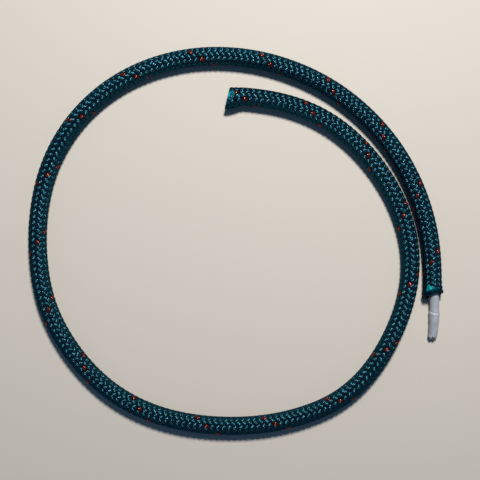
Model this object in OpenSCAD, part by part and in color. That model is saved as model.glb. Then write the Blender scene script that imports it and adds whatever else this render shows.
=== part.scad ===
// Kernmantle climbing rope: one length lying flat in a single open loop.
// A braided sheath runs round seven parallel core strands. One end is cut and fused shut.
// At the other end the core stands out of the sheath, bound in two lapped wraps of tape.
// Millimetres, +Z up. The rope rests on Z = 0 and the loop is centred on the origin.

/* [Rope] */
// Outside diameter of the rope
rope_d = 10; // [9:0.1:11]
// Wall of the braided sheath
sheath_wall = 2; // [1.7:0.05:2.2]
// Depth of the flat that the rope rests on, below its round underside
rest_flat = 1; // [0.5:0.05:1.2]

/* [Core] */
// Room between the bundle of core strands and the sheath all round it
core_room = 0.35; // [0.3:0.05:0.6]
// Gap between neighbouring core strands
strand_gap = 0.1; // [0.05:0.01:0.2]

/* [Cut ends] */
// How far each cut end of the sheath flares out past the rope's surface
flare = 1; // [0.2:0.1:1.5]
// Length of the flared stretch at each cut end
flare_len = 6; // [4:0.5:7]
// Angle that the free end's cut leans from square, in degrees
free_cut_lean = 12; // [0:1:20]
// Angle that the sheath's cut at the core end leans from square, in degrees
core_cut_lean = 25; // [0:1:28]
// Thickness of the fused nylon on each cut end
fused_t = 1.2; // [0.8:0.1:2]
// How far the bead of fused nylon swells past the flared sheath
bead = 0.3; // [0:0.05:0.5]

/* [Taped core] */
// Length of core that stands out of the sheath
core_out = 24; // [18:0.5:30]
// Thickness of each wrap of tape
tape_t = 0.15; // [0.1:0.01:0.2]
// Clearance between a wrap of tape and what it is wound on
tape_fit = 0.05; // [0.02:0.01:0.08]
// Length of the inner tape that is tucked into the sheath
tape_tuck = 4; // [3:0.5:6]
// Distance from the sheath to the edge of the outer tape
lap_at = 9.5; // [7:0.5:11]
// Length of inner tape that the outer tape covers
lap_len = 3; // [2:0.5:5]
// How far the core strands stand out of the outer tape
tip_out = 1; // [0.8:0.1:2]
// Step between the cut tips of neighbouring core strands
tip_step = 0.3; // [0.1:0.05:0.35]
// Room between the fused rim of the sheath and the tape
rim_room = 0.3; // [0.2:0.05:0.5]

/* [Hidden] */

// Centreline of the rope on the ground, from the fused free end to the core end
route = [
    [-3.5, 79.5], [19, 77], [39.5, 71], [57.5, 60.5], [73, 45.5], [84.5, 28.5], [92.5, 9],
    [95.5, -12], [92.5, -33], [84.5, -53.5], [72.5, -72], [57, -86], [39, -94.5], [18.5, -99.5],
    [-3, -101], [-23.5, -99.5], [-45.5, -94], [-64.5, -84.5], [-80.5, -71], [-93, -55],
    [-103, -34.5], [-107.5, -13], [-108, 9], [-105, 29.5], [-98, 49], [-85, 68.5], [-71, 81.5],
    [-52, 92.5], [-31, 99], [-10, 101], [11, 99], [32, 93], [50.5, 84], [68, 71], [82.5, 55.5],
    [94, 37.5], [102, 18], [106.5, -3], [107.5, -22.5], [107.5, -29.5]
];
last = len(route) - 1;

sheath_sides = 12;
strand_sides = 8;
strand_ring = 6;      // strands round the middle one
tape_facets = 64;
overshoot = 1;        // how far a cutter passes the faces that it cuts through

rope_r = rope_d / 2;
flare_r = rope_r + flare;
axis_z = rope_r - rest_flat;      // height of the rope's axis above the ground
bore_r = rope_r - sheath_wall;
bundle_r = bore_r - core_room;
strand_r = (bundle_r - strand_gap) / 3;      // three strands lie across the bundle
strand_pitch = 2 * strand_r + strand_gap;

inner_tape_r = bundle_r + tape_fit;            // inside of the inner tape
lap_r = inner_tape_r + tape_t + tape_fit;      // inside of the outer tape over the lap
lap_end = lap_at + lap_len;
tape_end = core_out - tip_out;

echo(strand_d = 2 * strand_r, rope_length = route_length(last), taped_core_d = 2 * (inner_tape_r + tape_t));
echo(least_gap_between_turns = least_gap());

// Length of the route up to its point i
function route_length(i) = i == 0 ? 0 : norm(route[i] - route[i - 1]) + route_length(i - 1);

// Least gap between stretches of the rope that lie side by side, measured from the
// points of one to the straight stretches of the other
function point_to_stretch(p, a, b) =
    let (t = max(0, min(1, ((p - a) * (b - a)) / ((b - a) * (b - a)))))
    norm(p - a - t * (b - a));
function least_gap() =
    min([for (i = [0:last]) for (j = [0:last - 1])
        if (abs(i - j) > 6) point_to_stretch(route[i], route[j], route[j + 1])]) - rope_d;

// Direction of travel at point i of the route: along its only stretch at either end,
// and halfway between its two stretches everywhere else
function unit(v) = v / norm(v);
function stretch_dir(i) = unit(route[i + 1] - route[i]);
function travel(i) =
    i == 0 ? stretch_dir(0)
    : i == last ? stretch_dir(last - 1)
    : unit(stretch_dir(i - 1) + stretch_dir(i));

// A station is [place, direction of travel, lean of the cut there as a slope]
function station(i, lean = 0, along = 0) = [route[i] + along * travel(i), travel(i), lean];

free_lean = tan(free_cut_lean);
core_lean = -tan(core_cut_lean);
sheath_stations = concat(
    [station(0, free_lean), station(0, 0, flare_len)],
    [for (i = [1:last - 1]) station(i)],
    [station(last, 0, -flare_len), station(last, core_lean)]
);

// One point of a cross-section: u to the left of travel, v up, never below the ground
function section_point(st, u, v) =
    let (dir = st[1], along = u * st[2])
    [
        st[0].x - u * dir.y + along * dir.x,
        st[0].y + u * dir.x + along * dir.y,
        max(0, axis_z + v)
    ];
// Ring of a cross-section: a polygon with flat sides at top and bottom, centred on (u, v)
function ring(st, r, sides, u = 0, v = 0) =
    [for (k = [0:sides - 1])
        let (a = (k + 0.5) * 360 / sides)
        section_point(st, u + r * cos(a), v + r * sin(a))];
// Radius of a polygon whose flat sides lie r from its centre
function round_flats(r, sides) = r / cos(180 / sides);

// Two triangles for each side between ring i and ring j
function band(i, j, sides) =
    [for (k = [0:sides - 1])
        let (m = (k + 1) % sides)
        each [[i * sides + k, j * sides + k, j * sides + m],
              [i * sides + k, j * sides + m, i * sides + m]]];

// Hollow skin: rings that go out along the outside and come back along the bore
module closed_skin(rings) {
    sides = len(rings[0]);
    count = len(rings);
    polyhedron(
        points = [for (r = rings) each r],
        faces = [for (i = [0:count - 1]) each band(i, (i + 1) % count, sides)]
    );
}

// Solid skin: rings from one end to the other, each end closed by a fan round its middle
module solid_skin(rings, first_mid, last_mid) {
    sides = len(rings[0]);
    count = len(rings);
    a = count * sides;
    b = a + 1;
    final_ring = (count - 1) * sides;
    polyhedron(
        points = concat([for (r = rings) each r], [first_mid, last_mid]),
        faces = concat(
            [for (i = [0:count - 2]) each band(i, i + 1, sides)],
            [for (k = [0:sides - 1]) [a, k, (k + 1) % sides]],
            [for (k = [0:sides - 1]) [b, final_ring + (k + 1) % sides, final_ring + k]]
        )
    );
}

// Braided sheath as a tube, flared at both cuts
module sheath() {
    count = len(sheath_stations);
    outside = [for (i = [0:count - 1])
        ring(sheath_stations[i], i == 0 || i == count - 1 ? flare_r : rope_r, sheath_sides)];
    bore = [for (i = [count - 1:-1:0])
        ring(sheath_stations[i], round_flats(bore_r, sheath_sides), sheath_sides)];
    color("teal") closed_skin(concat(outside, bore));
}

// One core strand, cut with the rope at the free end and running on past the sheath
module core_strand(k) {
    around = k == 0 ? 0 : strand_pitch;
    turn = (k - 1) * 360 / strand_ring;
    u = around * cos(turn);
    v = around * sin(turn);
    tip = station(last, 0, core_out - (k % 3) * tip_step);
    stations = concat([station(0, free_lean)], [for (i = [1:last]) station(i)], [tip]);
    color("ghostwhite") solid_skin(
        [for (st = stations) ring(st, strand_r, strand_sides, u, v)],
        section_point(stations[0], u, v),
        section_point(tip, u, v)
    );
}

// Fused nylon on the free end: a bead that closes the sheath and the core
module fused_end() {
    function cut(along, r) = ring(station(0, free_lean, along), r, sheath_sides);
    color("darkcyan") solid_skin(
        [cut(-fused_t, flare_r - bead), cut(-fused_t / 2, flare_r + bead), cut(0, flare_r)],
        section_point(station(0, free_lean, -fused_t), 0, 0),
        section_point(station(0, free_lean), 0, 0)
    );
}

// Fused nylon on the sheath's other cut: a bead with the taped core coming out of it
module fused_rim() {
    function cut(along, r) = ring(station(last, core_lean, along), r, sheath_sides);
    hole_r = round_flats(inner_tape_r + tape_t + rim_room, sheath_sides);
    color("darkcyan") closed_skin([
        cut(0, flare_r), cut(fused_t / 2, flare_r + bead), cut(fused_t, flare_r - bead),
        cut(fused_t, hole_r), cut(0, hole_r)
    ]);
}

// Puts the sheath's cut at the core end at the origin, with the core along +Z
module at_core_end() {
    end_dir = travel(last);
    translate([route[last].x, route[last].y, axis_z])
        rotate([0, 0, atan2(end_dir.y, end_dir.x)])
            rotate([0, 90, 0])
                children();
}

// Inner wrap of tape, from inside the sheath to the end of the lap
module inner_tape() {
    color("whitesmoke") at_core_end()
        translate([0, 0, -tape_tuck])
            difference() {
                cylinder(h = tape_tuck + lap_end, r = inner_tape_r + tape_t, $fn = tape_facets);
                translate([0, 0, -overshoot])
                    cylinder(h = tape_tuck + lap_end + 2 * overshoot, r = inner_tape_r,
                             $fn = tape_facets);
            }
}

// Outer wrap of tape: over the inner one, then down onto the strands as far as the tip
module outer_tape() {
    color("white") at_core_end()
        rotate_extrude($fn = tape_facets)
            polygon([
                [lap_r, lap_at], [lap_r + tape_t, lap_at],
                [lap_r + tape_t, lap_end + tape_fit + tape_t],
                [inner_tape_r + tape_t, lap_end + tape_fit + tape_t],
                [inner_tape_r + tape_t, tape_end], [inner_tape_r, tape_end],
                [inner_tape_r, lap_end + tape_fit], [lap_r, lap_end + tape_fit]
            ]);
}

sheath();
fused_end();
fused_rim();
inner_tape();
outer_tape();
core_strand(0);  // core_strand_1
core_strand(1);  // core_strand_2
core_strand(2);  // core_strand_3
core_strand(3);  // core_strand_4
core_strand(4);  // core_strand_5
core_strand(5);  // core_strand_6
core_strand(6);  // core_strand_7
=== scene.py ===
# %% [markdown]
# # A kernmantle climbing rope
# A climbing rope is two things in one. A core of white nylon strands carries the load, and a
# braided sheath of coloured yarn keeps it together and takes the wear. This length lies on a
# table in one open loop. One end is cut and melted shut. At the other the core stands out of
# the sheath, bound in white tape.
#
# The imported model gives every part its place, so it is loaded first. The tube that stands for
# the sheath there is plain. Here each of its 24 yarns is made, and braided, as a mesh of its own.

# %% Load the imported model
import math

import bpy
import numpy as np
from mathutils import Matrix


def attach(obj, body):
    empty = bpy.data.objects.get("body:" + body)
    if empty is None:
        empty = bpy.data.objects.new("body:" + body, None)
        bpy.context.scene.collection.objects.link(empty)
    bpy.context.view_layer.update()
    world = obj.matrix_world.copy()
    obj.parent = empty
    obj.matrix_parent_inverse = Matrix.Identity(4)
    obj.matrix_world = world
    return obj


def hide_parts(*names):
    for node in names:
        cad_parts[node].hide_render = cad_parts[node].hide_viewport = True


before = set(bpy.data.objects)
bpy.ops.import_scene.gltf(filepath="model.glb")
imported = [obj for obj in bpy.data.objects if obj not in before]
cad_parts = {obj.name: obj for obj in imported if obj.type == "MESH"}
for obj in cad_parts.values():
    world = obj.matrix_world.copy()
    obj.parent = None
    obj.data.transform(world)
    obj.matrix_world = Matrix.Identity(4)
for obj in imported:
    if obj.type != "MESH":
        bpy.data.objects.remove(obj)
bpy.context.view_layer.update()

MM = 0.001


def put(name, data):
    """A new object in the scene, made of a mesh, a camera or a lamp."""
    made = bpy.data.objects.new(name, data)
    bpy.context.scene.collection.objects.link(made)
    return made


print("nodes:", ", ".join(sorted(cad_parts)))

# %% [markdown]
# ## The route
# The rope's centreline is a list of places that it passes through, the same ones that the
# packed tube follows. Joined by straight stretches they would make a chain of corners, so a
# natural cubic spline goes through them: a curve whose slope and bend agree at every place.
# It is worked out for all places at once, as one set of linear equations.

# %% The places that the rope passes through, in metres
ROUTE = MM * np.array([
    (-3.5, 79.5), (19, 77), (39.5, 71), (57.5, 60.5), (73, 45.5), (84.5, 28.5), (92.5, 9),
    (95.5, -12), (92.5, -33), (84.5, -53.5), (72.5, -72), (57, -86), (39, -94.5), (18.5, -99.5),
    (-3, -101), (-23.5, -99.5), (-45.5, -94), (-64.5, -84.5), (-80.5, -71), (-93, -55),
    (-103, -34.5), (-107.5, -13), (-108, 9), (-105, 29.5), (-98, 49), (-85, 68.5), (-71, 81.5),
    (-52, 92.5), (-31, 99), (-10, 101), (11, 99), (32, 93), (50.5, 84), (68, 71), (82.5, 55.5),
    (94, 37.5), (102, 18), (106.5, -3), (107.5, -22.5), (107.5, -29.5),
])
ROPE_R = 5 * MM
SAMPLES = 8000                   # places worked out on the curve, to measure along it
END_SAMPLES = 8                  # those of them that give the direction at an end
STEP = 0.25 * MM                 # spacing of the centreline's own table
LEAD = 6 * MM                    # how far the table runs on, straight, before the free end
TAIL = 34 * MM                   # and after the sheath's other end, for the bare core


# %% A smooth curve through the places
def natural_spline(knots, values, at):
    """Cubic pieces through values at knots: at a distance b past one knot and a before the next,
    w apart, each is (bend * a^3 + next bend * b^3) / 6w plus the straight line that makes up
    the rest. The bends solve the equations that make the slopes agree, and are 0 at the ends."""
    h = np.diff(knots)
    n = len(knots)
    inner = np.arange(1, n - 1)
    left_side = np.eye(n)
    left_side[inner, inner - 1] = h[:-1]
    left_side[inner, inner] = 2 * (h[:-1] + h[1:])
    left_side[inner, inner + 1] = h[1:]
    right_side = np.zeros_like(values)
    right_side[1:-1] = 6 * np.diff(np.diff(values, axis=0) / h[:, None], axis=0)
    bend = np.linalg.solve(left_side, right_side)
    i = np.clip(np.searchsorted(knots, at, side="right") - 1, 0, n - 2)
    w, a, b = h[i][:, None], (knots[i + 1] - at)[:, None], (at - knots[i])[:, None]
    curved = (bend[i] * a**3 + bend[i + 1] * b**3) / (6 * w)
    before, after = values[i] / w - bend[i] * w / 6, values[i + 1] / w - bend[i + 1] * w / 6
    return curved + (before * a + after * b)


def lengths_along(points):
    """Distance from the first point to each one, measured along the chain of points."""
    return np.append(0, np.cumsum(np.linalg.norm(np.diff(points, axis=0), axis=1)))


def unit(vectors):
    """Vectors divided by their lengths, along the last axis of an array."""
    return vectors / np.linalg.norm(vectors, axis=-1, keepdims=True)


knots = lengths_along(ROUTE)
fine = natural_spline(knots, ROUTE, np.linspace(0, knots[-1], SAMPLES))
fine_s = lengths_along(fine)
SHEATH_LENGTH = fine_s[-1]
table_s = np.arange(-LEAD, SHEATH_LENGTH + TAIL, STEP)
on_rope = np.clip(table_s, 0, SHEATH_LENGTH)
line = np.stack([np.interp(on_rope, fine_s, fine[:, k]) for k in (0, 1)], axis=1)
start_dir, end_dir = unit(fine[END_SAMPLES] - fine[0]), unit(fine[-1] - fine[-1 - END_SAMPLES])
line += np.minimum(table_s, 0)[:, None] * start_dir
line += np.maximum(table_s - SHEATH_LENGTH, 0)[:, None] * end_dir
travel = unit(np.gradient(line, axis=0))
print("sheath along its centreline, mm:", round(SHEATH_LENGTH / MM, 1))

# %% [markdown]
# ## The camera
# The rope is seen from straight above. The camera stands 45 cm over the table, and its lens is
# worked out from the width that it has to take in, so the framing stays right if either moves.

# %% Camera
VIEW_WIDTH = 262 * MM            # what the view takes in from side to side, at the rope's height
CAMERA_X, CAMERA_Y, CAMERA_OVER = 2.3 * MM, 0.5 * MM, 450 * MM
camera_data = bpy.data.cameras.new("camera")
camera_data.sensor_width = 36    # mm, the usual size. The lens follows from it
camera_data.lens = camera_data.sensor_width * (CAMERA_OVER - ROPE_R) / VIEW_WIDTH
camera = put("camera", camera_data)
camera.location = (CAMERA_X, CAMERA_Y, CAMERA_OVER)
bpy.context.scene.camera = camera
print("lens, mm:", round(camera_data.lens, 1))

# %% [markdown]
# ## Places on the rope
# Everything on the rope is given by three numbers: how far along it, how far to the left of its
# axis, and how far above it. One function turns arrays of them into places in the room.
# The cut ends are made here too, so that every yarn obeys them: the rope swells a little
# towards each cut, and the cuts are not square. So is the table, which flattens what is low.

# %% Numbers of the ends and of the table
AXIS_H = 4.7 * MM                # height of the rope's axis: its underside is pressed flat
AXIS_RISE = 0.8                  # how much of the sheath's swelling lifts the axis
FREE_FLARE, FAR_FLARE = 0.3 * MM, 0.45 * MM      # how much wider the sheath is at its cuts
FREE_RUN, FAR_RUN = 9 * MM, 5 * MM               # and how far from them that begins
CUT_RUN = 12 * MM                # the stretch over which the yarns slide to follow the cut
# The hot blade pressed the free end flat, and pushed it to the right
FREE_WIDER, FREE_LOWER, FREE_ASIDE = 0.2, 0.1, 1.7 * MM
# The free end's face: how far forward it stands, and how much more for each mm left and up
FREE_OUT, FREE_LEFT, FREE_UP = 0.3 * MM, 0.17, 0.02
# The other cut, in mm: how far forward the sheath reaches at places u to the left of its axis,
# and how much less for each mm up
FAR_U = (-6, -5.2, -4.5, -3.2, -1.9, -0.2, 2.4, 3.7, 5.2, 6)
FAR_REACH = (-0.5, 0.2, 1.15, 0.45, 0.2, -1.1, -1.2, -0.3, -2.0, -2.4)
FAR_UP = 0.3
TABLE_GAP = 0.02 * MM            # how close to the table things come
# In mm: the height under which the table presses, how far below it things would reach, and
# the sum of the two. The power makes the slopes agree at the top
PRESS_FROM, PRESS_BELOW, PRESS_SPAN, PRESS_POWER = 0.8, 0.9, 1.7, 2.125


# %% From rope coordinates to a place in the room
def smooth_step(x, low, high):
    """0 below low, 1 above high and t * t * (3 - 2t) between, where t goes from 0 to 1."""
    t = np.clip((x - low) / (high - low), 0, 1)
    return t * t * (3 - 2 * t)


def flare(s):
    """How far the sheath has swelled at s: nothing in the middle, and most at both cuts."""
    return (FREE_FLARE * smooth_step(-s, -FREE_RUN, 0)
            + FAR_FLARE * smooth_step(s, SHEATH_LENGTH - FAR_RUN, SHEATH_LENGTH))


def pressed(z, least):
    """Heights z as the table presses them: those under least + 0.8 mm are drawn in, as
    least + 0.8 * ((z - least + 0.9) / 1.7) ** 2.125, which is level with the rest at the top."""
    over = (z - least) / MM
    share = np.clip(over + PRESS_BELOW, 0, None) / PRESS_SPAN
    return np.where(over < PRESS_FROM, least + MM * PRESS_FROM * share ** PRESS_POWER, z)


def cut_ends(s, u, up):
    """Rope coordinates after the blade. The free end is wider, lower and moved to the right,
    and its face leans by 0.17 u + 0.02 up. The other cut has a tongue on the right, and
    reaches further at the bottom than on top."""
    near = smooth_step(-s, -FREE_RUN, 0)
    u = u * (1 + FREE_WIDER * near) - FREE_ASIDE * near
    up = up * (1 - FREE_LOWER * near)
    free = FREE_OUT + FREE_LEFT * u + FREE_UP * up
    far = MM * np.interp(u / MM, FAR_U, FAR_REACH) - FAR_UP * up
    slide = (free * smooth_step(-s, -CUT_RUN, 0)
             + far * smooth_step(s, SHEATH_LENGTH - CUT_RUN, SHEATH_LENGTH))
    return s + slide, u, up


def place(s, u, up, height=None, sliding=True, least=TABLE_GAP):
    """The room's x, y, z of arrays of rope coordinates: s along the rope, u to the left of
    travel and up from its axis, which lies at height. Without sliding there are no cut ends.
    The table keeps places above least, and with least None there is no table."""
    at, u, up = cut_ends(s, u, up) if sliding else (s, u, up)
    x, y = (np.interp(at, table_s, line[:, k]) for k in (0, 1))
    dx, dy = (np.interp(at, table_s, travel[:, k]) for k in (0, 1))
    if height is None:
        height = AXIS_H + AXIS_RISE * flare(np.clip(s, 0, SHEATH_LENGTH))
    z = height + up if least is None else pressed(height + up, least)
    return np.stack(np.broadcast_arrays(x - u * dy, y + u * dx, z), axis=-1)


def round_rope(angle, radius):
    """u and up of an angle and a radius: 0 is on the left of travel and a quarter turn on top."""
    return radius * np.cos(angle), radius * np.sin(angle)


print("the free end's middle, mm:", (place(0.0, 0.0, 0.0) / MM).round(1))

# %% [markdown]
# ## A mesh from a grid of points
# Every piece below is a skin: rings of points, one after another, joined by four-sided faces
# and closed at both ends by a fan. One function writes such a grid to a mesh in whole arrays.
# It also lays a UV map, with the way round the ring across it and the way along the piece up it.

# %% Skin function
UV_NAME = "OFBake"


def grid_faces(m, k, around, along, closed_loop):
    """Point numbers and UVs of the four-sided faces of m rings of k points. Face (i, j) joins
    ring i to ring i + 1 between points j and j + 1."""
    i, j = np.meshgrid(np.arange(m if closed_loop else m - 1), np.arange(k), indexing="ij")
    i2, j2 = (i + 1) % m, (j + 1) % k
    quads = np.stack([i * k + j, i * k + j2, i2 * k + j2, i2 * k + j], axis=-1)
    u, v = np.append(around, 1.0), np.append(along, 1.0)
    if not closed_loop:
        v = along
    corners = ((j, i), (j + 1, i), (j + 1, i + 1), (j, i + 1))
    uv = np.stack([np.stack([u[a], v[b]], axis=-1) for a, b in corners], axis=-2)
    return quads.reshape(-1, 4), uv.reshape(-1, 2)


def fan_faces(m, k, around, along):
    """Point numbers and UVs of the triangles that close the first ring and the last. The fans'
    middle points come after all others, first the first ring's and then the last one's."""
    j = np.arange(k)
    u = np.append(around, 1.0)
    fans, uv = [], []
    for middle, ring, a, b, v in ((m * k, 0, j + 1, j, along[0]),
                                  (m * k + 1, (m - 1) * k, j, j + 1, along[-1])):
        fans.append(np.stack([np.full(k, middle), ring + a % k, ring + b % k], axis=-1))
        across = ((u[j] + u[j + 1]) / 2, u[a], u[b])
        uv.append(np.stack([np.stack([c, np.full(k, v)], axis=-1) for c in across], axis=1))
    return np.concatenate(fans), np.concatenate(uv).reshape(-1, 2)


def skin(name, rings, around, along, marks=None, closed_loop=False):
    """A mesh from an array of rings, of shape (rings, points, 3). around and along are the UV
    numbers of the points and of the rings. marks are numbers or vectors at the points, for the
    materials. A closed loop joins its last ring to its first and has no end fans."""
    m, k = rings.shape[:2]
    points = rings.reshape(-1, 3)
    quads, uv = grid_faces(m, k, around, along, closed_loop)
    loops, starts = quads.ravel(), 4 * np.arange(len(quads))
    if not closed_loop:
        fans, fan_uv = fan_faces(m, k, around, along)
        points = np.concatenate([points, [rings[0].mean(axis=0), rings[-1].mean(axis=0)]])
        loops = np.append(loops, fans)
        starts = np.append(starts, quads.size + 3 * np.arange(len(fans)))
        uv = np.concatenate([uv, fan_uv])
    mesh = bpy.data.meshes.new(name)
    mesh.vertices.add(len(points))
    mesh.vertices.foreach_set("co", points.astype(np.float32).ravel())
    mesh.loops.add(len(loops))
    mesh.loops.foreach_set("vertex_index", loops.astype(np.int32))
    mesh.polygons.add(len(starts))
    mesh.polygons.foreach_set("loop_start", starts.astype(np.int32))
    mesh.update(calc_edges=True)
    mesh.polygons.foreach_set("use_smooth", np.ones(len(starts), dtype=bool))
    mesh.uv_layers.new(name=UV_NAME).uv.foreach_set("vector", uv.astype(np.float32).ravel())
    for mark, values in (marks or {}).items():
        kind, slot = ("FLOAT", "value") if values.ndim == 2 else ("FLOAT_VECTOR", "vector")
        flat = values.ravel()
        if not closed_loop:
            flat = np.append(flat, [values[0].mean(axis=0), values[-1].mean(axis=0)])
        mesh.attributes.new(mark, kind, "POINT").data.foreach_set(slot, flat.astype(np.float32))
    piece = put(name, mesh)
    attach(piece, "root")
    return piece


# %% [markdown]
# ## How the sheath is braided
# 24 bobbins run round the core, half of them each way, and each yarn passes over two of the
# others and then under two. Seen in rope coordinates that is simple. A yarn's angle grows
# steadily along the rope, one turn in each pitch, and its distance from the middle rises and
# falls six times a turn. Right-hand yarns are out where left-hand yarns are in, so a cosine of
# six times the angle serves both, with opposite signs. The floats then stand in twelve rows
# along the rope. Real rope is never quite even: the rows drift round it, and the pitch wanders.

# %% The braid's numbers
YARNS_EACH_WAY = 12
PITCH = 37.7 * MM
FLOATS = 6                       # floats of one yarn in each turn
WAVE = 0.60 * MM                 # how far a yarn rises and falls from the middle of the sheath
SQUARING = 0.09                  # share of a wave three times as quick, which flattens crests
YARN_WIDE, TRACER_WIDE = 2.05 * MM, 1.65 * MM
YARN_OUT, YARN_IN = 0.48 * MM, 0.38 * MM         # half the thickness, outwards and inwards
SWELL = 0.40                     # how much a yarn thickens on its floats and thins under others
CREST = 1 - SQUARING
BRAID_R = ROPE_R - WAVE * CREST - YARN_OUT * (1 + SWELL * CREST)
TRACER_START = -84.0             # degrees past the top, where the orange yarn starts
# Degrees, at places spread evenly along the rope: how far round it the rows have drifted, and
# how far ahead of an even pitch the yarns have got
ROW_DRIFT = (30, 7, 6, -2, 2, 7, 15, 34, 26, 23, 19)
PITCH_LAG = (-1, -11, -16, -12, -6, -6, -1, -2, -8, -4, 7)


def drift(values, s):
    """A smooth curve through values spread evenly along the sheath, in radians."""
    spots = np.linspace(0, SHEATH_LENGTH, len(values))
    return natural_spline(spots, np.radians(values)[:, None], np.clip(s, 0, SHEATH_LENGTH))[:, 0]


print("middle of the braid, mm from the axis:", round(BRAID_R / MM, 2))

# %% [markdown]
# ## One yarn
# A yarn is a flat bundle of a few ends of thread that lie side by side. A round tube would
# leave holes in the sheath, so its section is made as a low arch with shallow grooves between
# the ends, and it is carried along the yarn's path with its flat side out.

# %% A yarn's section
ENDS = 5                         # parallel ends of thread in one yarn
END_POINTS = 4                   # points across each of them
END_RELIEF = 0.035 * MM          # how deep the grooves between them are
BOXY = 8                         # power that makes the arch's sides steep and its top flat
INNER_POINTS = 5                 # points on the inner side, between its edges


def yarn_section():
    """Across from -1 to 1 and out in metres, round one yarn. The outer side is a low arch with
    a ripple for each end of thread, and the inner side half an ellipse. Also gives a mark of
    painted shade from 0 to 1, for how deep in a groove or down the yarn's edge each point lies."""
    x = np.linspace(-1, 1, END_POINTS * ENDS + 1)
    edge = np.abs(x) ** BOXY
    arch = np.clip(1 - edge, 0, 1) ** 0.5
    groove = 0.5 + 0.5 * np.cos(np.pi * ENDS * (x + 1))
    top = YARN_OUT * arch - END_RELIEF * groove * (1 - edge)
    # Painted shade: 0.8 in the grooves between the ends, and 1 at the yarn's edges and on its inner
    # side, where the finish darkens the colour
    deep = np.maximum(0.8 * groove, x**6)
    t = np.linspace(0, np.pi, INNER_POINTS + 2)[1:-1]
    return (np.append(x, np.cos(t)), np.append(top, -YARN_IN * np.sin(t)),
            np.append(deep, np.ones(INNER_POINTS)))


print("points round a yarn:", len(yarn_section()[0]))

# %% A yarn's rings
RING_STEP = 0.66 * MM
WIDENING = 0.1                   # how much wider a yarn is on its floats
BOW = 0.55                       # how much of the rope's roundness a yarn takes on
UNEVEN_OVER = (1.9, 3.1, 5.3)    # mm per radian of the waves that make a yarn uneven
UNEVEN_RISE, UNEVEN_WIDTH = 0.005 * MM, 0.006    # what they do to its height, and its width
NUDGE = 0.1 * MM                 # a small way outwards, to learn which way that is


def yarn_rings(start, hand, wide, seed):
    """Rings of one yarn. Its angle past the top is start + hand * 2 pi * s / pitch, and it
    stands out from the braid's middle by hand * wave * (cos(6 * angle) - 0.09 * cos(18 * angle)).
    Each ring is carried in the plane square to the yarn, flat side out, and bent to lie on the
    rope. The widths and the angles are a little uneven."""
    rng = np.random.default_rng(seed)
    s = np.arange(0, SHEATH_LENGTH + RING_STEP / 2, RING_STEP)
    s *= SHEATH_LENGTH / s[-1]
    turn = start + hand * (2 * np.pi * s / PITCH + drift(PITCH_LAG, s))
    phase = FLOATS * turn
    wave = hand * (np.cos(phase) - SQUARING * np.cos(3 * phase))
    angle = np.pi / 2 + turn + drift(ROW_DRIFT, s)
    uneven = sum(np.sin(s / (w * MM) + rng.uniform(0, 2 * np.pi)) for w in UNEVEN_OVER)
    radius = BRAID_R + flare(s) + WAVE * wave + UNEVEN_RISE * uneven
    middle = place(s, *round_rope(angle, radius), least=YARN_OUT * (1 + SWELL))
    outward = (place(s, *round_rope(angle, radius + NUDGE), least=None)
               - place(s, *round_rope(angle, radius), least=None))
    forward = unit(np.gradient(middle, axis=0))
    across = unit(np.cross(forward, outward))
    out = np.cross(across, forward)
    x, y, groove = yarn_section()
    half = wide / 2 * (1 + WIDENING * wave + UNEVEN_WIDTH * uneven)
    aside = half[:, None] * x
    high = y * (1 + SWELL * wave[:, None]) - BOW * aside**2 / (2 * radius[:, None])
    rings = middle[:, None] + aside[..., None] * across[:, None] + high[..., None] * out[:, None]
    # out and groove also drive painted shade in the finish: darker grooves, edges and float ends
    # where a yarn dives under others, and lighter float tops
    marks = {
        "out": np.repeat(wave[:, None], len(x), axis=1),
        "groove": np.repeat(groove[None], len(s), axis=0),
        "across": np.repeat(across[:, None], len(x), axis=1),
    }
    outline = np.stack([x * YARN_WIDE / 2, y], axis=-1)
    side = np.linalg.norm(outline - np.roll(outline, -1, axis=0), axis=1)
    return rings, np.append(0, np.cumsum(side))[:-1] / side.sum(), s / s[-1], marks


# %% All the yarns
spread = 2 * math.pi / YARNS_EACH_WAY
right_start = math.radians(TRACER_START)
left_start = spread / 2 - right_start    # so that yarns cross halfway between out and in
yarns = []
for way, hand, start in (("right", 1, right_start), ("left", -1, left_start)):
    for i in range(YARNS_EACH_WAY):
        is_tracer = hand == 1 and i == 0
        wide = TRACER_WIDE if is_tracer else YARN_WIDE
        seed = 200 + 100 * hand + i
        name = "tracer_yarn" if is_tracer else f"sheath_yarn_{way}_{i + 1:02d}"
        yarn = skin(name, *yarn_rings(start + i * spread, hand, wide, seed))
        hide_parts("sheath")
        yarns.append(yarn)
print(len(yarns), "yarns of", len(yarns[0].data.polygons), "faces each")

# %% [markdown]
# The rope's centreline is worked out at 400 places along the sheath.

path_s = np.linspace(0, SHEATH_LENGTH, 400)
centreline = place(path_s, 0 * path_s, 0 * path_s)

# %% [markdown]
# ## The core
# Seven strands of white nylon fill the sheath, one in the middle and six round it, and each is
# three yarns laid up together. They could be plain rods, because only their tips are seen, but
# the tips are what gives a cut core its ragged look. So a strand's section is a clover leaf that
# turns as it goes, and its tip rounds over. Beyond the sheath the core sags to the table.

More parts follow.
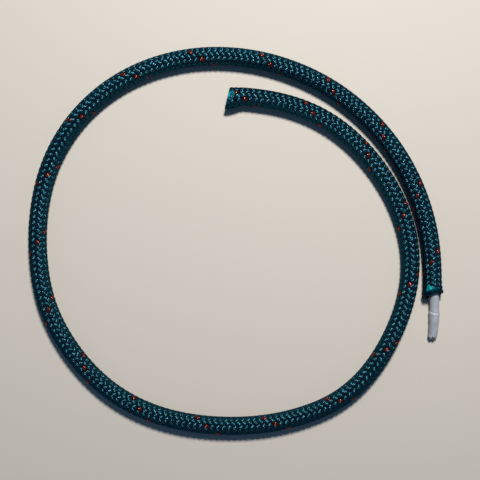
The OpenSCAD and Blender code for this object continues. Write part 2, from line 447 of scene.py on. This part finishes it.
# %% The core's numbers
STRANDS = 7
STRAND_R = 0.85 * MM
STRAND_PITCH = 1.8 * MM          # from the middle strand to those round it
CORE_OUT = 24 * MM
LAY = 11 * MM                    # one turn of the three yarns in a strand
LOBE = 0.15                      # how far they stand out, as a share of the radius
STRAND_SIDES = 18
COARSE_STEP, FINE_STEP = 1.5 * MM, 0.4 * MM      # ring spacing inside the sheath and outside
FINE_BEFORE = 6 * MM             # how far before the sheath's cut the fine spacing starts
BLUNT = 0.5 * MM                 # the length over which a tip rounds over
BLUNT_ROWS = (1, 0.8, 0.5, 0.25, 0.08, 0)        # and where its rings are, as shares of that
LEAST_TIP = 0.06                 # the share that it never goes under, so the end is a small disc
TIP_PAST, TIP_SPREAD = 0.2 * MM, 0.7 * MM        # the longest tip, and how much shorter others are
RING_TURN = 0.2                  # radians by which the six are turned round the middle one
# Past the sheath's cut, in mm: the core's axis to the left of the rope's, and its height
SIDE_AT, SIDE = (-9, -2, 3, 9, 14, 20, 24), (0, 0.9, 1.1, 1.35, 1.3, 0.95, 0.3)
HEIGHT_AT, HEIGHT = (-9, -1, 11, 24), (AXIS_H / MM, 4.3, 3.4, 2.6)


# %% Core strands
def core_axis(z):
    """Sideways place and height of the core's axis, at z past the sheath's cut. It leaves the
    flared end a little to the left, then comes back and sags towards its tip."""
    return MM * np.interp(z / MM, SIDE_AT, SIDE), MM * np.interp(z / MM, HEIGHT_AT, HEIGHT)


def squeeze(z):
    """How wide the core is at z. The tape draws it together by 6% where it starts, and by
    another 3.5% towards the tip."""
    return 1 - 0.06 * smooth_step(z, -9 * MM, -5 * MM) - 0.035 * smooth_step(z, 12 * MM, 22 * MM)


def strand_rings(k):
    """Rings of strand k. The section's radius is r0 * (1 + 0.15 * cos(3 * (angle - twist))),
    and it shrinks to a blunt tip as the square root of what is left of the last half a mm."""
    tip = SHEATH_LENGTH + CORE_OUT + TIP_PAST - TIP_SPREAD * ((k * 5) % STRANDS) / (STRANDS - 1)
    fine_from = SHEATH_LENGTH - FINE_BEFORE
    s = np.concatenate([np.arange(COARSE_STEP, fine_from, COARSE_STEP),
                        np.arange(fine_from, tip - BLUNT, FINE_STEP),
                        tip - BLUNT * np.array(BLUNT_ROWS)])
    z = s - SHEATH_LENGTH
    angle = np.linspace(0, 2 * np.pi, STRAND_SIDES, endpoint=False)
    twist = (1 if k % 2 else -1) * 2 * np.pi * s / LAY + k
    size = (squeeze(z) * np.sqrt(np.clip((tip - s) / BLUNT, LEAST_TIP, 1)))[:, None]
    radius = STRAND_R / (1 + LOBE) * (1 + LOBE * np.cos(3 * (angle - twist[:, None]))) * size
    side, height = core_axis(z)
    out = 0 if k == 0 else STRAND_PITCH
    turn = (k - 1) * np.pi / 3 + RING_TURN
    u = side[:, None] + out * np.cos(turn) * squeeze(z)[:, None] + radius * np.cos(angle)
    up = out * np.sin(turn) * squeeze(z)[:, None] + radius * np.sin(angle)
    rings = place(np.broadcast_to(s[:, None], u.shape), u, up, height[:, None], sliding=False)
    return rings, np.arange(STRAND_SIDES) / STRAND_SIDES, s / s[-1]


strands = []
for k in range(STRANDS):
    strand = skin(f"twisted_strand_{k + 1}", *strand_rings(k))
    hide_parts(f"core_strand_{k + 1}")
    strands.append(strand)
print("strand faces:", len(strands[0].data.polygons))

# %% [markdown]
# ## The tape
# White tape holds the bare core together, in two wraps: one that comes out of the sheath, and
# one lapped over its end that runs down to the tip. A tube with square edges would look like a
# ferrule. Tape has a lifted edge, a long step where it overlaps itself, and faint creases, so
# the radius is a function of both the way along and the way round.

# %% The tape's numbers
TAPE_T = 0.1 * MM
INNER_R, OUTER_R = 2.54 * MM, 2.7 * MM           # the inner wrap, and the outer one over it
TUCK, LAP_AT, LAP_END, TAPE_END = -5 * MM, 9.3 * MM, 12.6 * MM, 23.1 * MM   # past the cut
LAP_DOWN = 4 * MM                # the stretch over which the outer wrap comes down
TAPE_ROWS, TAPE_SIDES = 70, 96
RAGGED_WAVES = (3, 5, 8, 13)     # waves round the edges
CREASE_WAVES = (2, 3.1), (4, -4.7), (7, 2.3), (11, -7.0)     # round, mm per radian
CREASE = 0.010 * MM
SEAM_STEP, SEAM_WIDE = 0.6, 0.012                # shares of the tape's thickness and of a turn
SCALLOPS, SCALLOP = 6, 0.3 * MM
# The first edge, in mm: a ridge with its place and width, and a dip with its length
RIDGE, RIDGE_AT, RIDGE_WIDE = 0.13, 0.7, 0.45
DIP, DIP_OVER = 0.05, 0.3


# %% Tape
def hill(x, middle, half):
    """A smooth hill, 1 high: exp(-((x - middle) / half) ** 2)."""
    return np.exp(-(((x - middle) / half) ** 2))


def tape_rings(first, last, radius_at, slant, seam, seed):
    """Rings that go out along the tape's outside and back along its inside, between its edges
    first and last. A slanting first edge leans by slant * (sin(angle) + cos(angle) / 2). The
    tape dips at it and swells to a ridge past it, and a mark of painted highlight runs along it.
    The last edge is scalloped over the strands' tips. From the angle seam the radius grows
    evenly all the way round, which leaves a long step there."""
    rng = np.random.default_rng(seed)
    t = np.linspace(0, 1, TAPE_ROWS)
    angle = np.linspace(0, 2 * np.pi, TAPE_SIDES, endpoint=False)
    ragged = sum(rng.uniform(0.02, 0.05) * MM * np.sin(n * angle + rng.uniform(0, 6))
                 for n in RAGGED_WAVES)
    start = first + slant * (np.sin(angle) + 0.5 * np.cos(angle)) + ragged
    scallop = SCALLOP * np.cos(SCALLOPS * angle - 1.2)
    z = start + t[:, None] * (last + ragged[::-1] + scallop - start)
    creases = sum(np.sin(n * angle + z / (w * MM) + rng.uniform(0, 6)) for n, w in CREASE_WAVES)
    past_seam = ((angle - seam) / (2 * np.pi)) % 1
    step = SEAM_STEP * TAPE_T * (past_seam + 1 - smooth_step(past_seam, 0, SEAM_WIDE))
    from_edge = (z - start) / MM
    ridge = RIDGE * hill(from_edge, RIDGE_AT, RIDGE_WIDE) - DIP * np.exp(-from_edge / DIP_OVER)
    outer = radius_at(z) + CREASE * creases + step + MM * ridge * (slant > 0)
    side, height = core_axis(z)
    rings = []
    for radius, order in ((outer, slice(None)), (outer - TAPE_T, slice(None, None, -1))):
        u, up = round_rope(angle, radius)
        rings.append(place(SHEATH_LENGTH + z, side + u, up, height, sliding=False)[order])
    # Painted highlight along the lifted first edge, strongest on the right of the core
    edge = (0.55 - 0.35 * np.cos(angle)) * hill(from_edge, 0.4, 0.5) * (slant > 0)
    rows = 2 * TAPE_ROWS
    return (np.concatenate(rings), np.arange(TAPE_SIDES) / TAPE_SIDES, np.arange(rows) / rows,
            {"edge": np.concatenate([edge, edge[::-1]])})


def bound_r(z):
    """Outside of the tape where it lies on the strands."""
    return (STRAND_R + STRAND_PITCH) * squeeze(z) + 0.45 * TAPE_T


def lapped_r(z):
    """Outside of the outer wrap: over the inner one, then down onto the strands."""
    down = smooth_step(z, LAP_END, LAP_END + LAP_DOWN)
    return OUTER_R * (1 - down) + bound_r(z) * down


inner_tape = skin("inner_wrap", *tape_rings(TUCK, LAP_END, lambda z: INNER_R, 0, 4.4, 1),
                  closed_loop=True)
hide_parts("inner_tape")
outer_tape = skin("outer_wrap", *tape_rings(LAP_AT, TAPE_END, lapped_r, 0.8 * MM, 5.9, 2),
                  closed_loop=True)
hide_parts("outer_tape")
print("tape faces:", len(inner_tape.data.polygons))

# %% [markdown]
# ## The melted ends
# A hot blade seals a cut rope by melting its yarns into one another. The skin that it leaves is
# neither flat nor round: it sinks between the yarns, stands up in drops and runs back over the
# braid where the blade has touched it. Both ends are made from rings again, from a skirt on the
# outside, over the rim, and across the face.

# %% Unevenness of melted nylon
END_SIDES = 144
around_end = np.linspace(0, 2 * np.pi, END_SIDES, endpoint=False)
END_U = np.arange(END_SIDES) / END_SIDES
COARSE_WAVES, FINE_WAVES = (2, 3, 5, 9, 14, 22), (7, 12, 19, 29)
BLOB_MOST = 3.5                  # mm, the longest wave of the blobs


def lumps(waves, seed):
    """An uneven wave round the rope, between about -1 and 1: a sum of sines with these numbers
    of waves in a turn, the quicker the lower."""
    rng = np.random.default_rng(seed)
    return sum(np.sin(n * around_end + rng.uniform(0, 6)) / (1 + 0.12 * n) for n in waves) / 2.2


def blobs(u, up, seed):
    """An uneven field over a face, between about -1 and 1: a sum of eight sine waves with
    lengths from 1 to 3.5 mm, each in its own direction."""
    rng = np.random.default_rng(seed)
    total = 0
    for length in MM * np.geomspace(1, BLOB_MOST, 8):
        way = rng.uniform(0, 2 * np.pi)
        wave = 2 * np.pi * (u * math.cos(way) + up * math.sin(way)) / length
        total = total + np.sin(wave + rng.uniform(0, 6)) * (length / (BLOB_MOST * MM)) ** 0.6
    return total / 2.6


# %% The free end
SKIRT_ROWS = 16
# The face, from the rim to the middle: shares of the rope's radius, and mm past the cut
FACE_R = (0.985, 0.95, 0.9, 0.82, 0.72, 0.6, 0.5, 0.4, 0.3, 0.2, 0.1, 0.03)
FACE_OUT = (-0.3, -0.5, -0.6, -0.6, -0.45, -0.3, -0.25, -0.3, -0.35, -0.4, -0.4, -0.4)
# Middles and halves, in degrees round the rope and as shares of the skirt
TOP_AT, TOP_HALF = 80, 27        # the stretch where the skirt reaches further back
LOOP_HALF, LOOP_V, LOOP_V_HALF = 24, 0.52, 0.48          # the loop, in the middle of it
DROP_AT, DROP_HALF, DROP_V, DROP_V_HALF = 123, 8, 0.9, 0.25


def melted_cap():
    """Skin over the free end. A skirt starts under the yarns' crests, 1.2 mm back and up to
    2.6 mm on top. It rolls over the rim, and the face dips towards the middle. The radius is a
    share of the rope's plus fine lumps, a ring and a drop. The ring is a loop of melted yarn
    over the edge: exp(-((q - 1) / 0.25) ** 2), where q is 1 on an ellipse drawn on the skirt,
    and v is 0 where the skirt starts and 1 at the rim. Lumps and blobs dent the face."""
    rough, fine_rough = lumps(COARSE_WAVES, 11), lumps(FINE_WAVES, 12)
    degrees = np.degrees(around_end)
    on_top = np.exp(-(((degrees - TOP_AT) / TOP_HALF) ** 4))
    skirt = np.linspace(0, 1, SKIRT_ROWS)
    v = np.append(skirt, np.ones(len(FACE_R)))[:, None]
    share = np.append(0.9 + 0.09 * np.sin(np.clip(skirt / 0.3, 0, 1) * np.pi / 2),
                      FACE_R)[:, None]
    face = np.append(0 * skirt, FACE_OUT)[:, None]
    along = (1.2 + 1.4 * on_top) * (1 - v) - 0.35 * v + face
    q = np.sqrt(((degrees - TOP_AT) / LOOP_HALF) ** 2 + ((v - LOOP_V) / LOOP_V_HALF) ** 2)
    ring = hill(q, 1, 0.25) * (share > 0.9)
    drop = np.exp(-(((degrees - DROP_AT) / DROP_HALF) ** 2) - ((v - DROP_V) / DROP_V_HALF) ** 2)
    r = (ROPE_R + FREE_FLARE) * (share + 0.015 * on_top * v ** 0.5 * (share > 0.9))
    r = r + MM * (0.03 * fine_rough * share + 0.16 * ring + 0.3 * drop - 0.12)
    u, up = round_rope(around_end, r)
    edge = share ** 6
    dent = along + edge * (0.15 * rough + 0.08 * fine_rough)
    dent = dent + 0.24 * (1 - edge) * np.minimum(share / 0.3, 1) * blobs(u, up, 13)
    rings = place(MM * dent, u, up)
    # Painted highlight: the loop over the edge and the drop get a lighter colour, with a little
    # random change from the lumps
    melt = np.clip(0.12 + 0.6 * ring + 0.55 * drop + 0.1 * rough, 0, 1)
    return rings[::-1], END_U, np.linspace(0, 1, len(rings)), {"melt": melt[::-1]}


# %% The other end
# By angle in degrees: how far back over the braid the run nylon goes, in mm
RUN_AT = (0, 30, 80, 90, 110, 128, 137, 144, 156, 360)
RUN_BACK = (0.6, 0.9, 1.2, 2.0, 3.5, 5.7, 5.5, 2.0, 0.9, 0.6)
RIM_ROWS = (0, 0.05, 0.14, 0.25, 0.38, 0.5, 0.62, 0.75, 0.88, 1)     # shares of the way back
# Across the face: mm past the cut, and how far in from the rim to the hole, as a share
ACROSS_RIM = ((0.4, 0.02), (0.6, 0.1), (0.62, 0.2), (0.6, 0.3), (0.55, 0.42), (0.5, 0.55),
              (0.42, 0.7), (0.35, 0.85), (0.1, 1.0), (-1.2, 1.0))
HOLE_ROOM = 0.3 * MM             # between the hole and the inner wrap
PLAIN_MELT = 0.1                 # how bright the nylon is where it hasn't run


def melted_rim():
    """Skin over the other cut, with the taped core coming through it. The blade has dragged a
    smooth patch back over the braid, brighter than the rim itself. The rings go forward over
    the braid, 0.3 mm under its crests at first and then 0.1 mm over them, or 0.26 mm on the
    patch. Then they go in across the face to the hole, and back under the face."""
    rough, fine_rough = lumps(COARSE_WAVES, 21), lumps(FINE_WAVES, 22)
    run = np.interp(np.degrees(around_end), RUN_AT, RUN_BACK)
    patch = np.clip(run - 1.6, 0, 1)
    side, height = core_axis(np.zeros(1))
    lower = float(height[0]) - AXIS_H - AXIS_RISE * FAR_FLARE
    hole_u, hole_up = round_rope(around_end, INNER_R + HOLE_ROOM)
    rows, melt = [], []
    for t in RIM_ROWS:
        back = (run + 0.2 * rough) * (1 - t)
        at = SHEATH_LENGTH - MM * back
        rise = math.sin(min(t / 0.1, 1) * math.pi / 2)
        proud = -0.3 + (0.4 + 0.16 * patch) * rise + 0.05 * fine_rough
        rows.append(place(at, *round_rope(around_end, ROPE_R + flare(at) + MM * proud)))
        melt.append(PLAIN_MELT + 0.9 * patch * smooth_step(back, 1.5, 2.3))
    outer_u, outer_up = round_rope(around_end, ROPE_R + FAR_FLARE)
    for along, inward in ACROSS_RIM:
        u = outer_u * (1 - inward) + (side[0] + hole_u) * inward
        up = outer_up * (1 - inward) + (lower + hole_up) * inward
        at = SHEATH_LENGTH + MM * (along + 0.12 * rough + 0.06 * fine_rough)
        rows.append(place(at + 0.22 * MM * math.sin(math.pi * inward) * blobs(u, up, 23), u, up))
    rows.append(place(SHEATH_LENGTH - 1.2 * MM + 0 * outer_u, outer_u * 0.9, outer_up * 0.9))
    melt += [np.full(END_SIDES, PLAIN_MELT)] * (len(rows) - len(melt))
    return np.stack(rows), END_U, np.arange(len(rows)) / len(rows), {"melt": np.stack(melt)}


# %% Both melted ends
cap = skin("melted_end", *melted_cap())
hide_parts("fused_end")
rim = skin("melted_rim", *melted_rim(), closed_loop=True)
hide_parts("fused_rim")
print("faces of the melted ends:", len(cap.data.polygons), len(rim.data.polygons))

# %% [markdown]
# ## Shader maths as Python
# A material is a net of nodes, and its sums are easier to read as sums. A small class wraps one
# socket, and adding or multiplying it adds the node that does so.

# %% Wire
class Wire:
    """A number on its way through a material. + - * on it add Math nodes."""

    def __init__(self, finish, socket):
        self.finish, self.socket = finish, socket

    def sum_of(self, operation, first, second):
        """The wire of a new Math node."""
        return self.finish.node("ShaderNodeMath", {"operation": operation}, {0: first, 1: second})

    def __add__(self, other):
        return self.sum_of("ADD", self, other)

    def __sub__(self, other):
        return self.sum_of("SUBTRACT", self, other)

    def __rsub__(self, other):
        return self.sum_of("SUBTRACT", other, self)

    def __mul__(self, other):
        return self.sum_of("MULTIPLY", self, other)

    __radd__ = __add__
    __rmul__ = __mul__


# %% Finish
class Finish:
    """A material with one Principled shader, whose constants are given by name. node() adds
    any node, and the methods after it are short forms for the nodes used most."""

    def __init__(self, name, **constants):
        self.material = bpy.data.materials.new(name)
        self.material.use_nodes = True
        self.tree = self.material.node_tree
        self.shader = self.tree.nodes["Principled BSDF"]
        for socket, value in constants.items():
            self.feed(self.shader.inputs[socket.replace("_", " ")], value)

    def feed(self, socket, value):
        """Links a wire to a socket, or sets the socket to a plain value."""
        if isinstance(value, Wire):
            self.tree.links.new(value.socket, socket)
        else:
            socket.default_value = value

    def drives(self, **wires):
        """What varies over the surface: links wires to the shader's sockets, by name."""
        for socket, wire in wires.items():
            self.feed(self.shader.inputs[socket.replace("_", " ")], wire)

    def node(self, kind, settings=None, inputs=None, out=0):
        """Adds a node. Its settings are set first, then the values or wires of its sockets, and
        the wire of one output comes back. A ramp's setting is stops, as (place, colour)."""
        made = self.tree.nodes.new(kind)
        for key, value in (settings or {}).items():
            if key == "stops":
                ends = made.color_ramp.elements
                for end, (spot, colour) in ((ends[1], value[-1]), (ends[0], value[0])):
                    end.position, end.color = spot, (*colour, 1)
                for spot, colour in value[1:-1]:
                    made.color_ramp.elements.new(spot).color = (*colour, 1)
            else:
                setattr(made, key, value)
        for key, value in (inputs or {}).items():
            self.feed(made.inputs[key], value)
        return Wire(self, made.outputs[out])

    def mark(self, name, out="Fac"):
        """A mark that the mesh carries: a number, or with out="Vector" a vector."""
        return self.node("ShaderNodeAttribute", {"attribute_name": name}, out=out)

    def where(self):
        """The place of a point on the piece, in the piece's own metres."""
        return self.node("ShaderNodeTexCoord", out="Object")

    def vector(self, operation, first, second=(0, 0, 0), slot=1):
        """Vector maths. slot is the socket that the second value goes to."""
        return self.node("ShaderNodeVectorMath", {"operation": operation}, {0: first, slot: second})

    def map_at(self, across, up):
        """The piece's UV map, stretched across and up."""
        uv = self.node("ShaderNodeUVMap", {"uv_map": UV_NAME})
        return self.vector("MULTIPLY", uv, (across, up, 1))

    def noise(self, vector, scale=1.0, detail=3):
        """Soft random numbers, mostly between 0.3 and 0.7."""
        return self.node("ShaderNodeTexNoise", None,
                         {"Vector": vector, "Scale": scale, "Detail": detail})

    def ramp(self, stops, number):
        """The colour that the stops, as (place, colour), have at a number."""
        return self.node("ShaderNodeValToRGB", {"stops": stops}, {0: number})

    def mix(self, factor, a, b):
        """Colour a where the factor is 0, and b where it is 1."""
        return self.node("ShaderNodeMix", {"data_type": "RGBA"},
                         {"Factor": factor, 6: a, 7: b}, out=2)

    def bump(self, strength, distance, height):
        """The surface's direction as if height raised it by up to distance."""
        return self.node("ShaderNodeBump", None,
                         {"Strength": strength, "Distance": distance, "Height": height})


# %% [markdown]
# ## Yarn finish
# A sheath yarn is a bundle of fine, shiny nylon filaments laid side by side. They catch the
# light like brushed metal: each float shows a bright streak right across it, where the
# filaments turn through the angle that mirrors the lamp, and stays dark elsewhere. The grooves
# between the ends are real shape. The filaments themselves are too fine for that. One noise,
# drawn out along the yarn, shades them a little. A second, finer one turns their faces to one
# side or the other, as the round backs of filaments do. That fans the gloss out across the
# yarn and leaves it sharp along the yarn, which is what makes the thin streaks.

# %% Yarn finish
# How many grains each noise has, round the yarn and along it. A minus sign gives other grains
FILAMENTS, PATCHES, FACES = (150, 60), (6, 240), (-600, 120)
FAN = 7.0                        # how far the filaments' faces fan out sideways


def yarn_finish(name, stops, tint, share, gloss):
    """Yarn whose colour follows stops, with painted shade: darkest in the grooves, at the yarn's
    edges and where the floats dive under others, and lightest on the floats' tops.
    share is how metallic it is, tint colours its gloss, and gloss is its least roughness. The
    surface's direction is the mesh's plus a noise times the direction across the yarn."""
    f = Finish(name, Specular_IOR_Level=0.5, Specular_Tint=(*tint, 1), Metallic=share)
    filaments = f.noise(f.map_at(*FILAMENTS))
    patches = f.noise(f.map_at(*PATCHES), detail=2)
    # Random tone from the two noises, plus painted shade: darker in the grooves and at the edges,
    # darker where floats dive under others, and lighter on their tops
    tone_and_painted_shade = filaments * 0.15 + patches * 0.05 - f.mark("groove") * 0.1 + f.mark("out") * 0.15 + 0.42
    turned = (f.noise(f.map_at(*FACES)) - 0.5) * FAN
    fan = f.vector("SCALE", f.mark("across", "Vector"), turned, "Scale")
    facing = f.vector("ADD", f.node("ShaderNodeNewGeometry", out="Normal"), fan)
    f.drives(Base_Color=f.ramp(stops, tone_and_painted_shade), Roughness=filaments * 0.05 + gloss,
             Normal=f.vector("NORMALIZE", facing))
    return f.material


# The darkest stop is painted shade, for grooves, edges and float ends. The lightest is a lighter
# tone painted on the float tops, which also colours their gloss. The orange stops start higher, so
# more of its float ends lie in painted shade
TEAL = ((0.15, (0.0001, 0.0018, 0.02)), (0.48, (0.0006, 0.03, 0.068)),
        (0.85, (0.048, 0.178, 0.163)))
ORANGE = ((0.44, (0.008, 0.0004, 0.0008)), (0.52, (0.05, 0.0028, 0.0035)),
          (0.68, (0.3, 0.058, 0.042)))
teal = yarn_finish("teal_yarn", TEAL, tint=(0.01, 0.28, 0.45), share=0.9, gloss=0.23)
orange = yarn_finish("orange_yarn", ORANGE, tint=(1.0, 0.6, 0.45), share=0.8, gloss=0.18)
for yarn in yarns:
    yarn.data.materials.append(orange if yarn.name == "tracer_yarn" else teal)
print("nodes in a yarn's finish:", len(teal.node_tree.nodes))

# %% [markdown]
# ## Core, tape and melted nylon
# Undyed nylon is white and dull where it is cut. The tape is satin, and takes a grey cast from
# handling, with a painted highlight along its lifted edge. Melted nylon is the yarn's own teal
# and glossy. It is painted lighter on the free end's loop and drop, as a painted highlight, and
# is lighter on the smooth patch at the other cut.

# %% The other finishes
WHITE = (0.3, (0.42, 0.41, 0.38)), (0.5, (0.62, 0.61, 0.58)), (0.7, (0.78, 0.77, 0.74))
GREY = (0.3, (0.29, 0.3, 0.315)), (0.5, (0.38, 0.395, 0.41)), (0.7, (0.47, 0.485, 0.5))
# Pale colour for the painted highlight along the tape's lifted edge
TAPE_EDGE_HIGHLIGHT = (0.7, 0.72, 0.74, 1)
# The lightest stop is reached on the free end's loop and drop, where it is painted highlight, and
# on the smooth patch at the other cut
MELT = (0.2, (0.0005, 0.01, 0.024)), (0.5, (0.001, 0.07, 0.09)), (0.85, (0.01, 0.42, 0.42))


def strand_finish():
    """Dull white nylon, with filaments drawn out along the strand."""
    f = Finish("white_strand", Specular_IOR_Level=0.4)
    filaments = f.noise(f.map_at(60, 80))
    f.drives(Base_Color=f.ramp(WHITE, filaments), Roughness=filaments * 0.2 + 0.45,
             Normal=f.bump(0.7, 0.08 * MM, filaments))
    return f.material


def tape_finish():
    """Greyish satin with soft clouds and a fine grain, and a painted highlight on the lifted edge.
    """
    f = Finish("satin_tape", Specular_IOR_Level=0.5)
    where = f.where()
    cloud, grain = f.noise(where, 220), f.noise(where, 2600, detail=2)
    colour = f.mix(f.mark("edge"), f.ramp(GREY, cloud * 0.8 + grain * 0.2), TAPE_EDGE_HIGHLIGHT)
    f.drives(Base_Color=colour, Roughness=cloud * 0.25 + 0.25,
             Normal=f.bump(0.5, 0.06 * MM, cloud * 0.8 + grain * 0.15))
    return f.material


def melted_finish():
    """Dark teal glass with small drops, lighter where the mesh's mark says so: painted highlight on
    the free end's loop and drop, and a lighter patch at the other cut.
    """
    f = Finish("melted_nylon", Specular_IOR_Level=0.3, Specular_Tint=(0.05, 0.35, 0.42, 1),
               Metallic=0.6)
    drops = f.noise(f.where(), 700)
    f.drives(Base_Color=f.ramp(MELT, f.mark("melt") * 0.6 + drops * 0.45),
             Roughness=drops * 0.3 + 0.3, Normal=f.bump(0.8, 0.25 * MM, drops))
    return f.material


white, satin, melted = strand_finish(), tape_finish(), melted_finish()
for pieces, finish in ((strands, white), ((inner_tape, outer_tape), satin), ((cap, rim), melted)):
    for piece in pieces:
        piece.data.materials.append(finish)
print("finishes:", ", ".join(finish.name for finish in (teal, orange, white, satin, melted)))

# %% [markdown]
# ## Floor and light
# A pale table takes the soft shadow. One small soft box beyond the top of the coil, a good arm's
# length away, gives the yarns the sharp streaks that small lamps give. A dim, even sky that is
# a little blue fills the shadows.

# %% Floor
FLOOR_HALF = 3.0                 # m, half the table's side
floor_mesh = bpy.data.meshes.new("floor")
floor_mesh.from_pydata([(x * FLOOR_HALF, y * FLOOR_HALF, 0)
                        for x, y in ((-1, -1), (1, -1), (1, 1), (-1, 1))], [], [(0, 1, 2, 3)])
floor = put("floor", floor_mesh)
floor_finish = Finish("pale_table", Base_Color=(0.64, 0.57, 0.48, 1), Roughness=0.7)
floor_mesh.materials.append(floor_finish.material)

# %% Lamp and sky
LAMP_FROM, LAMP_HIGH, LAMP_AWAY, LAMP_SIZE = 78, 58, 0.86, 0.16      # degrees, degrees, m, m
LAMP_WATTS = 8.3
SKY, SKY_STRENGTH = (0.4, 0.86, 1.62, 1), 0.095      # cool, so that the shaded yarns turn navy
lamp_data = bpy.data.lights.new("soft_box", "AREA")
lamp_data.shape = "DISK"
lamp_data.size, lamp_data.energy = LAMP_SIZE, LAMP_WATTS
lamp = put("soft_box", lamp_data)
turn, high = math.radians(LAMP_FROM), math.radians(LAMP_HIGH)
lamp.location = (LAMP_AWAY * math.cos(high) * math.cos(turn),
                 LAMP_AWAY * math.cos(high) * math.sin(turn), LAMP_AWAY * math.sin(high))
lamp.rotation_euler = (0, math.pi / 2 - high, turn)
world = bpy.data.worlds.new("sky")
bpy.context.scene.world = world
world.use_nodes = True
sky = world.node_tree.nodes["Background"].inputs
sky["Color"].default_value, sky["Strength"].default_value = SKY, SKY_STRENGTH
bpy.context.scene.view_settings.view_transform = "Standard"
